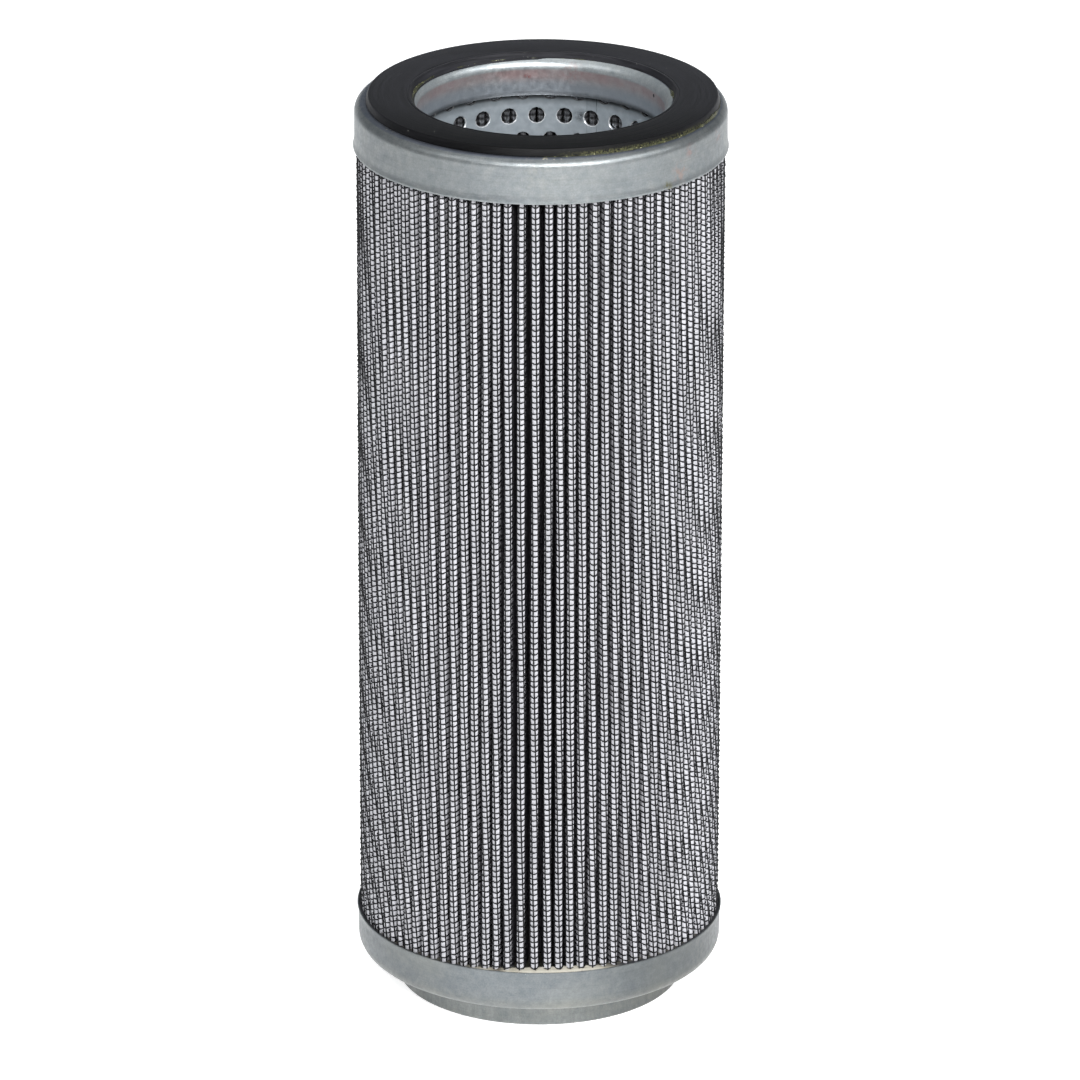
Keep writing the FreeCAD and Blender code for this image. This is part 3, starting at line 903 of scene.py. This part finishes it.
class FILTER_OT_core_tube(bpy.types.Operator):
    """Perforated core tube: one cell of sheet round a hole, set in staggered rows"""

    bl_idname = "filter.core_tube"
    bl_label = "Core tube"

    # Holes round the tube, rows of holes, level of the highest row, distance between rows,
    # radius of a hole and angle of the first one
    across, rows, first_row, pitch, hole, start = 28, 34, 249.1, 7.0, 2.3, math.radians(92)
    wall, worn_edge = 0.75, 0.16
    corners = 12

    def execute(self, context):
        points, faces = self.sheet()
        x, y = CORE * np.cos(points[:, 0]), CORE * np.sin(points[:, 0])
        tube = mesh_piece("perforated_core", np.column_stack([x, y, points[:, 1]]), faces,
                          merge=0.01)
        self.change(tube, "SOLIDIFY", thickness=self.wall * MM, offset=-1)
        self.change(tube, "BEVEL", width=self.worn_edge * MM, segments=1, limit_method="ANGLE",
                    angle_limit=math.radians(60))
        smooth(40)
        settle(tube, "core_steel", "core_tube", core_zinc(), punched_edge())
        # A worn edge, with the bright finish that is partly a painted highlight, lies between the
        # wall's slope and the hole's
        for face in tube.data.polygons:
            outward = Vector((face.center.x, face.center.y, 0)).normalized()
            if 0.25 < abs(face.normal.dot(outward)) < 0.92:
                face.material_index = 1
        return {"FINISHED"}

    def change(self, piece, kind, **values):
        """Adds a modifier to a piece and applies it."""
        modifier = piece.modifiers.new("change", kind)
        for name, value in values.items():
            setattr(modifier, name, value)
        bpy.ops.object.modifier_apply(modifier=modifier.name)

    def sheet(self):
        """The tube's sheet laid flat, as angle and level: cells with a hole, and a plain band
        above and below them."""
        step = 2 * math.pi / self.across
        cell = np.vstack([self.hole_line(), self.cell_line(step * CORE / 2, self.pitch / 2)])
        first = np.arange(self.corners)
        after = np.roll(first, -1)
        quads = np.column_stack([first, first + self.corners, after + self.corners, after])
        strips, faces = [], []
        for row in range(self.rows):
            for column in range(self.across):
                angle = self.start + step * (column + (0.5 if row % 2 == 0 else 0.0))
                faces.append(quads + len(strips) * len(cell))
                strips.append(cell / (CORE, 1) + (angle, self.first_row - self.pitch * row))
        around = self.start + step * np.arange(2 * self.across) / 2
        band = walls(np.arange(2 * len(around)).reshape(2, -1))
        for levels in ((self.first_row + self.pitch / 2, level("core_tube", 1)),
                       (level("core_tube", 0), self.first_row - self.pitch * (self.rows - 0.5))):
            faces.append(band + sum(len(strip) for strip in strips))
            strips += [np.column_stack([around, np.full(len(around), height)]) for height in levels]
        return np.concatenate(strips), np.concatenate(faces).tolist()

    def hole_line(self):
        angles = np.arange(self.corners) * 2 * math.pi / self.corners + math.pi / 3
        return on_circle((0, 0), self.hole, angles)

    def cell_line(self, half_wide, half_high):
        """Twelve points round a cell, starting at its upper corner as the hole's line does."""
        half = np.array([(1, 1), (0, 1), (-1, 1), (-1, 0.5), (-1, 0), (-1, -0.5)])
        return np.vstack([half, -half]) * (half_wide, half_high)


class FILTER_OT_resin_rings(bpy.types.Operator):
    """Potting resin in both caps, drawn up a little against the folds at the bottom"""

    bl_idname = "filter.resin_rings"
    bl_label = "Resin rings"

    def execute(self, context):
        finish, cloth = resin(), support_cloth()
        inner = CORE + 0.05
        for node, name in (("bottom_potting", "resin_bottom"), ("top_potting", "resin_top")):
            low, high = level(node, 0), level(node, 1)
            wide = reach(node) - 0.35
            if node == "bottom_potting":
                edge = [(wide, high - 1.3), (wide + 0.28, high - 0.12),
                        *((wide + out, high) for out in (0.1, -0.2, -0.6, -1.2, -2.0, -2.8))]
            else:
                edge = [(wide, high - 0.1), (wide - 0.1, high)]
            ring = turned(name, [(inner, low), (wide, low), *edge, (44.0, high), (inner, high)],
                          segments=376)
            if node == "bottom_potting":
                self.roughen(ring, wide, high)
            settle(ring, "potting_resin", node, finish, cloth)
            for face in ring.data.polygons:
                if math.hypot(face.center.x, face.center.y) < (inner + 0.3) * MM:
                    face.material_index = 1
        return {"FINISHED"}

    def roughen(self, ring, wide, high):
        """Unevenness of the resin's face, and how far it is drawn up at the front."""
        lumps = random.Random(5)
        waves = [(lumps.randint(3, 40), lumps.uniform(0, 6.3), lumps.uniform(0.01, 0.035))
                 for _ in range(9)]
        for vertex in ring.data.vertices:
            if vertex.co.z > (high - 0.15) * MM:
                angle = math.atan2(vertex.co.y, vertex.co.x)
                radius = math.hypot(vertex.co.x, vertex.co.y) / MM
                uneven = sum(size * (1 + math.sin(count * angle + phase))
                             for count, phase, size in waves)
                front = max(0.0, math.cos(angle + math.pi / 2 - 0.10)) ** 12
                inner_slope = min(1.0, max(0.0, (radius - wide + 2.8) / 0.9))
                drawn = 0.5 if radius > wide + 0.2 else 1.15 * inner_slope
                if radius < wide - 0.5:
                    drawn += 0.6 * inner_slope
                vertex.co.z += (drawn * front - 0.5 * uneven) * MM


class FILTER_OT_pleated_pack(bpy.types.Operator):
    """White media and the fine support mesh inside it, folded from core to crown"""

    bl_idname = "filter.pleated_pack"
    bl_label = "Pleated pack"

    def execute(self, context):
        settings = context.scene.filter_pack
        folds = Folds(settings)
        layer = folded_layer("folded_media", folds, MEDIA_DEPTHS, 10,
                             crown_steps=4, root_steps=1, flank_steps=3)
        settle(layer, "glass_fibre", "filter_media", media(settings))
        cloth = folded_layer("support_mesh", folds, INNER_MESH_DEPTHS, 8,
                             crown_steps=1, root_steps=4, flank_steps=1)
        settle(cloth, "coated_wire", None, support_cloth())
        return {"FINISHED"}


class FILTER_OT_wire_mesh(bpy.types.Operator):
    """Black woven wire that wraps the folds: level wires over each crown and upright wires"""

    bl_idname = "filter.wire_mesh"
    bl_label = "Wire mesh"

    # Share of the flank that a level wire runs down and how far it is pressed in and out, how far
    # past a crown an upright wire is followed, and at how many levels it is bent
    flank_share, lift, past_crown, levels = 0.14, 0.16, 0.8, 37

    def execute(self, context):
        settings = context.scene.filter_pack
        folds = Folds(settings)
        finish = coated_wire()
        radius = settings.wire / MM / 2
        self.level_wires(folds, radius, finish)
        self.upright_wires(folds, radius, finish)
        return {"FINISHED"}

    def level_wires(self, folds, radius, finish):
        """Level wires in four pieces by height, each wire cut where the flanks grow dark."""
        levels = np.arange(PACK_LOW + 1.3, PACK_HIGH - 0.2, folds.pitch)
        signs = np.where(np.arange(len(levels)) % 2 == 0, 1.0, -1.0)
        bands = zip(np.array_split(levels, 4), np.array_split(signs, 4))
        for number, (band, sign) in enumerate(bands, 1):
            paths = []
            for index in range(folds.count):
                line = folds.line(index, radius, cut=self.flank_share)
                lines, climb = folds.woven(index, line, band, sign, self.lift)
                wires = folds.placed(index, lines, band)
                wander = 0.05 * math.sin(index * 1.7) + 0.04 * np.sin(band / 9 + index)
                wires[..., 2] += climb + wander[:, None]
                paths.append(wires)
            piece = mesh_piece(f"level_wires_{number}", *tubes(
                np.concatenate(paths), radius * 1.15, 3, math.pi / 2), 130)
            settle(piece, "coated_wire", "outer_mesh", finish)

    def upright_wires(self, folds, radius, finish):
        """Upright wires drift sideways with height, so a crown carries one or two of them."""
        heights = np.linspace(PACK_LOW, PACK_HIGH, self.levels)
        depth = radius * 1.1
        reach_out = (folds.half_crown - depth) * math.pi / 2 + self.past_crown
        points, faces, count = [], [], 0
        for index in range(folds.count):
            move = folds.drift(index, heights)
            for number in range(-14, 15):
                place = number * folds.pitch + move
                for run in self.runs(np.abs(place) <= reach_out):
                    path = folds.on_crown(index, place[run], heights[run], depth)
                    new_points, new_faces = tubes([path], radius * 1.02, 4)
                    points.append(new_points)
                    faces += [[corner + count for corner in face] for face in new_faces]
                    count += len(new_points)
        piece = mesh_piece("upright_wires", np.concatenate(points), faces, 100)
        settle(piece, "coated_wire", "outer_mesh", finish)

    def runs(self, seen):
        """Stretches of at least two heights in a row where a wire is on the crown."""
        edges = np.flatnonzero(np.diff(np.concatenate([[0], seen, [0]]))).reshape(-1, 2)
        return [slice(start, end) for start, end in edges if end - start > 1]


class FILTER_OT_side_join(bpy.types.Operator):
    """Glue in the gap where the two ends of the folded strip meet"""

    bl_idname = "filter.side_join"
    bl_label = "Side join"

    def execute(self, context):
        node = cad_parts["side_join"]
        node.data.materials.clear()
        node.data.materials.append(side_glue())
        return {"FINISHED"}


class FILTER_OT_seal(bpy.types.Operator):
    """Flat rubber seal with a broken outer edge, and the adhesive squeezed out round it"""

    bl_idname = "filter.seal"
    bl_label = "Seal"

    def execute(self, context):
        settings = context.scene.filter_seal
        ring = turned("rubber_seal", [
            (34.9, TOP_RING),
            (48.1, TOP_RING),
            (48.2, TOP_RING + 0.15),
            (48.0, TOP_RING + 0.9),
            *bend_points((47.3, SEAL_TOP - 0.4), 0.4, 15, 90, 6),
            (42.0, SEAL_TOP),
            (37.5, SEAL_TOP),
            (37.2, SEAL_TOP - 0.02),
            (37.1, SEAL_TOP - 0.10),
            (37.0, SEAL_TOP - 0.02),
            *bend_points((36.5, SEAL_TOP - 0.35), 0.35, 90, 150, 4),
            (35.3, TOP_RING + 0.4),
            (34.95, TOP_RING + 0.15),
        ], segments=256)
        for vertex in ring.data.vertices:
            vertex.co.x += settings.offset
        settle(ring, "seal_rubber", "top_seal", rubber(settings))
        self.beads(settings)
        return {"FINISHED"}

    def beads(self, settings):
        """Two uneven beads: a low one along the seal's side at the front right, and a thin broken
        line inside it that swells at its left and right."""
        points, faces = np.empty((0, 3)), []
        for radius, side, start, end, tall, wide, foot, seed, lumps in (
            (48.25, 1, -90, 3, 0.5, 0.2, 0.0, 3, ((-18, 8, 1.2), (-62, 16, 0.1))),
            (35.42, -1, 0, 360, 0.28, 0.20, 0.40, 8, ((5, 7, 2.0), (168, 10, 1.8))),
        ):
            noise = random.Random(seed)
            waves = [(noise.uniform(0.05, 1.4), noise.uniform(0, 6.3)) for _ in range(7)]
            share = np.linspace(0, 1, int((end - start) * 1.5) + 1)
            degrees = start + (end - start) * share
            wave = sum(np.sin(rate * degrees + phase) for rate, phase in waves) / 7
            swell = np.abs(np.sin(math.pi * share)) ** 0.6 if side > 0 else 0.75
            lump = sum(high * np.exp(-((degrees - place) / spread) ** 2)
                       for place, spread, high in lumps)
            size = np.maximum(0.05, swell * (0.5 + 1.3 * wave) + lump)[:, None]
            # Five points of the bead's section: out from the seal, and up from the ring
            out = wide * size * (0, 1, 0.6, 0, 0) + (-0.3, 0, 0, 0.05, -0.3)
            up = tall * size * (0, 0, 0.4, 1, 1) + (-0.05, -0.05, 0, 0, 0)
            far, angle = radius + side * out, np.radians(degrees)[:, None]
            bead = np.stack([far * np.cos(angle) + settings.offset / MM, far * np.sin(angle),
                             TOP_RING + 0.02 + foot + up], axis=-1)
            rings = np.arange(bead.size // 3).reshape(-1, 5) + len(points)
            points = np.concatenate([points, bead.reshape(-1, 3)])
            faces += [*walls(rings).tolist(), rings[0, ::-1].tolist(), rings[-1].tolist()]
        piece = mesh_piece("adhesive_beads", points, faces, 60)
        settle(piece, "seal_glue", "seal_adhesive", adhesive(settings))


class FILTER_PT_pieces(bpy.types.Panel):
    """Lists the element's pieces"""

    bl_label = "Filter element"
    bl_idname = "FILTER_PT_pieces"
    bl_space_type = "VIEW_3D"
    bl_region_type = "UI"
    bl_category = "Filter"

    def draw(self, context):
        for step in STEPS:
            self.layout.operator(step.bl_idname)


SETTINGS = {
    "filter_stage": StageSettings,
    "filter_steel": SteelSettings,
    "filter_pack": PackSettings,
    "filter_seal": SealSettings,
}
STEPS = (
    FILTER_OT_stage,
    FILTER_OT_end_caps,
    FILTER_OT_core_tube,
    FILTER_OT_resin_rings,
    FILTER_OT_pleated_pack,
    FILTER_OT_wire_mesh,
    FILTER_OT_side_join,
    FILTER_OT_seal,
)
CLASSES = (*SETTINGS.values(), *STEPS, FILTER_PT_pieces)


def register():
    for kind in CLASSES:
        bpy.utils.register_class(kind)
    for name, kind in SETTINGS.items():
        setattr(bpy.types.Scene, name, bpy.props.PointerProperty(type=kind))


def unregister():
    for name in SETTINGS:
        delattr(bpy.types.Scene, name)
    for kind in reversed(CLASSES):
        bpy.utils.unregister_class(kind)


def main():
    register()
    bpy.ops.filter.stage()
    bpy.ops.filter.end_caps()
    bpy.ops.filter.core_tube()
    bpy.ops.filter.resin_rings()
    bpy.ops.filter.pleated_pack()
    bpy.ops.filter.wire_mesh()
    bpy.ops.filter.side_join()
    bpy.ops.filter.seal()


if __name__ == "__main__":
    main()
